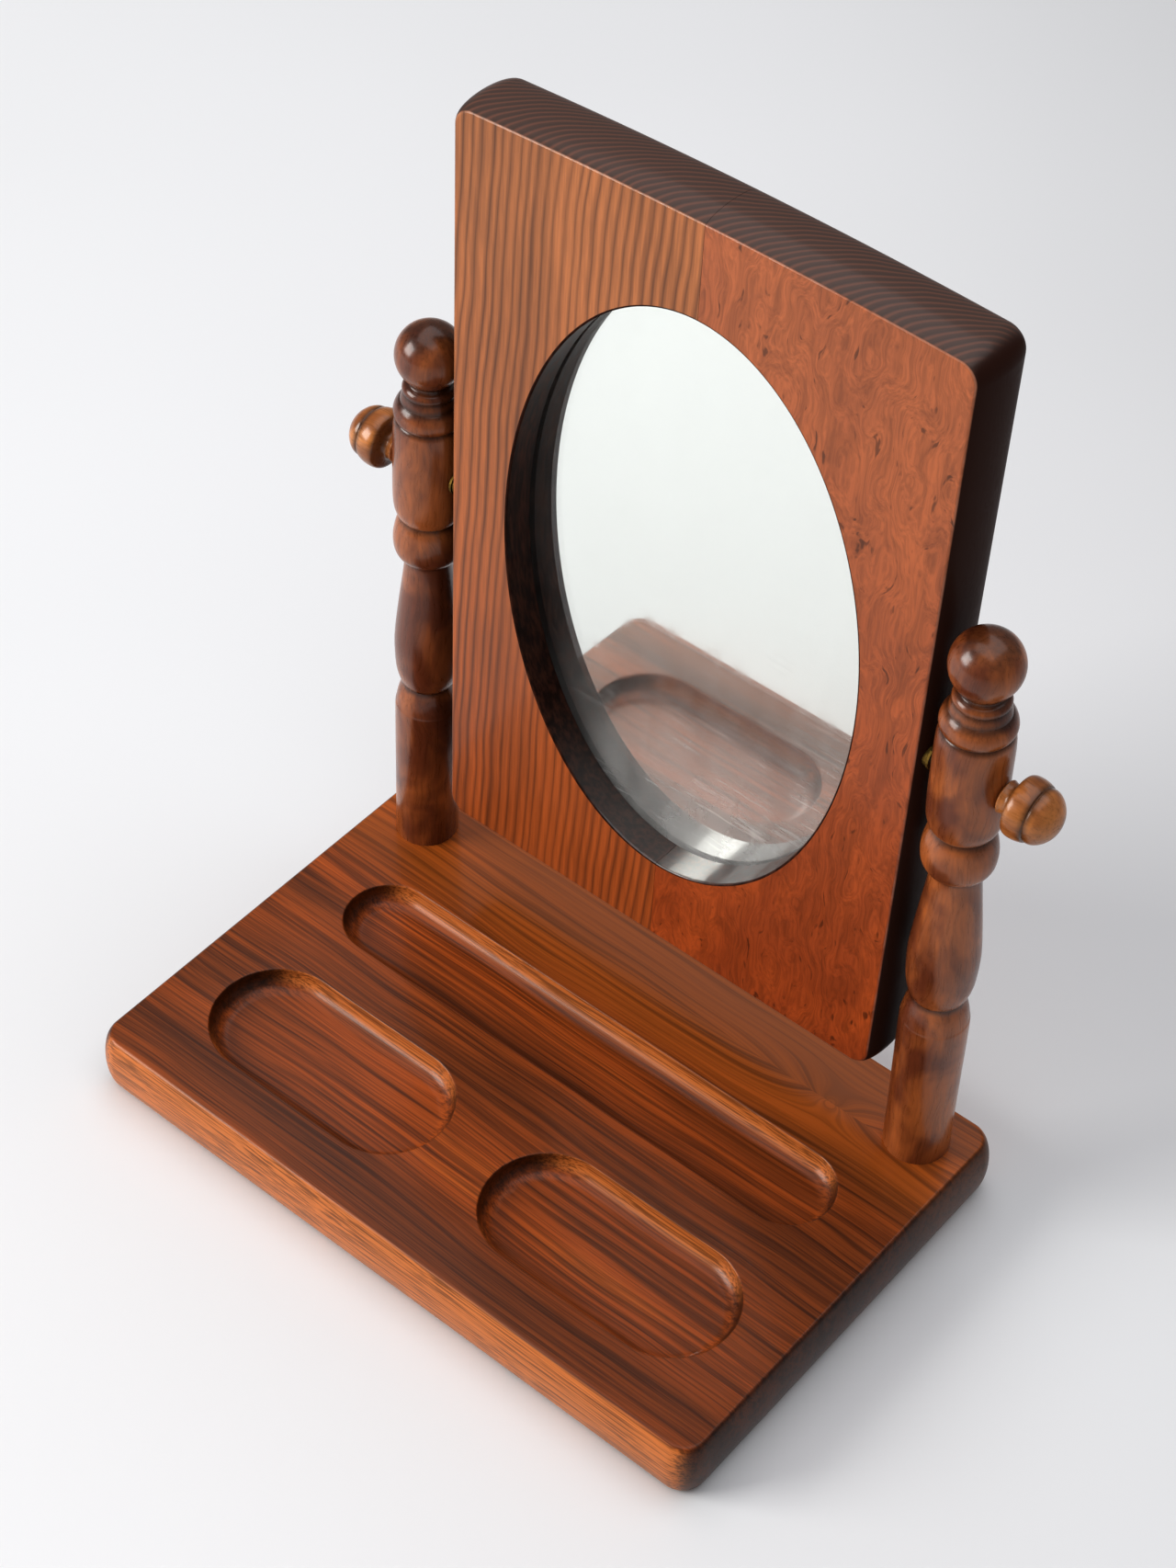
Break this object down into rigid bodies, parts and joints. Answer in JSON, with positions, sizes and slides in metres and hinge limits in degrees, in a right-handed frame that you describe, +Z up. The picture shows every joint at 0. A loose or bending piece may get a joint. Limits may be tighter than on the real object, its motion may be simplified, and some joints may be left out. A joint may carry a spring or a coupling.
{
  "type": "shaving stand with swing mirror",
  "caption": "Wooden tray with routed recesses for shaving gear and an oval mirror in a thick board frame that swings between turned posts on clamp knobs.",
  "frame": {"origin": "middle of the underside of the felt, on the surface the stand rests on", "axes": "+X to the right along the tray's long side for someone facing the mirror, -Y towards that person, +Z up the posts"},
  "size_m": [0.3007, 0.1855, 0.3782],
  "materials": {
    "base_wood": "satin lacquer, brown-orange with darker streaks",
    "base_felt": "matt felt",
    "post_wood": "gloss lacquer, walnut brown",
    "knob_wood": "gloss lacquer, golden brown",
    "frame_striped_wood": "satin lacquer, orange-tan with dark stripes",
    "frame_figured_wood": "satin lacquer, red-brown swirled figure",
    "silvered_glass": "silvered flat glass",
    "hardboard": "matt hardboard",
    "brass": "plain turned brass",
    "bolt_steel": "plated steel",
    "screw_steel": "plated steel",
    "brad_steel": "plain steel"
  },
  "bodies": {
    "base": {"base_board": "base_wood", "base_felt": "base_felt", "left_post": "post_wood", "right_post": "post_wood", "left_post_screw": "screw_steel", "right_post_screw": "screw_steel"},
    "mirror_frame": {"frame_left_board": "frame_striped_wood", "frame_right_board": "frame_figured_wood", "mirror_glass": "silvered_glass", "backing_board": "hardboard", "brad_top_left": "brad_steel", "brad_top_right": "brad_steel", "brad_bottom_left": "brad_steel", "brad_bottom_right": "brad_steel", "left_thread_insert": "brass", "right_thread_insert": "brass", "left_spacer": "brass", "right_spacer": "brass"},
    "left_clamp_knob": {"left_knob": "knob_wood", "left_pivot_bolt": "bolt_steel"},
    "right_clamp_knob": {"right_knob": "knob_wood", "right_pivot_bolt": "bolt_steel"}
  },
  "joints": [
    {"name": "mirror_tilt", "type": "hinge", "parent": "base", "child": "mirror_frame", "pos_m": [0.00314, 0.0695, 0.2165], "axis": [1, 0, 0], "continuous": true},
    {"name": "left_knob_turn", "type": "hinge", "parent": "mirror_frame", "child": "left_clamp_knob", "pos_m": [-0.12611, 0.0695, 0.2165], "axis": [-1, 0, 0], "range_deg": [0, 360]},
    {"name": "right_knob_turn", "type": "hinge", "parent": "mirror_frame", "child": "right_clamp_knob", "pos_m": [0.1324, 0.0695, 0.2165], "axis": [1, 0, 0], "range_deg": [0, 360]}
  ]
}
